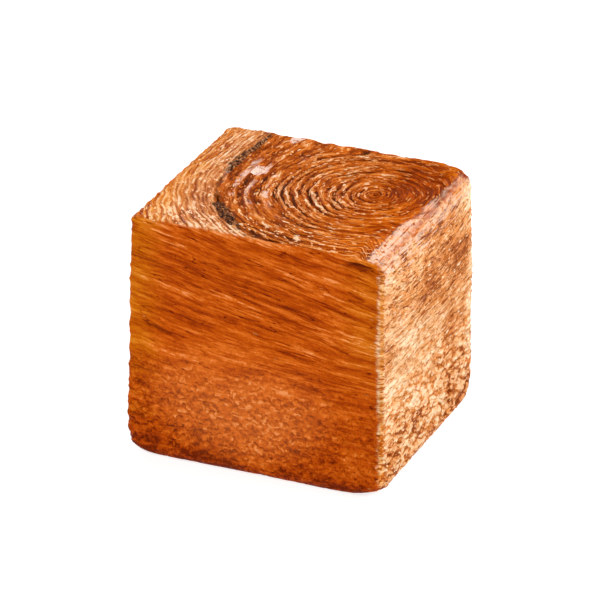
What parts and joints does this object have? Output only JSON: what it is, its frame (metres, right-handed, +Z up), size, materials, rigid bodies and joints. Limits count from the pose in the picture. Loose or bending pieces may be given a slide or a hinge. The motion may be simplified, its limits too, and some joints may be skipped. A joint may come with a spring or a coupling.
{
  "type": "garlic butter danish pastry",
  "caption": "Cube-shaped laminated danish: layered sides, a rolled swirl on top and a dark seam of garlic filling between the wraps.",
  "frame": {"origin": "centre of the base, on the surface it stands on", "axes": "+Z up, -Y out of the front side, +X out of the right side, which rolls over into the top"},
  "size_m": [0.0772, 0.0716, 0.0722],
  "materials": {
    "crust": "baked golden brown, buttery sheen",
    "filling": "dark, grainy and moist"
  },
  "bodies": {
    "root": {"pastry": "crust", "garlic_filling": "filling"}
  },
  "joints": []
}
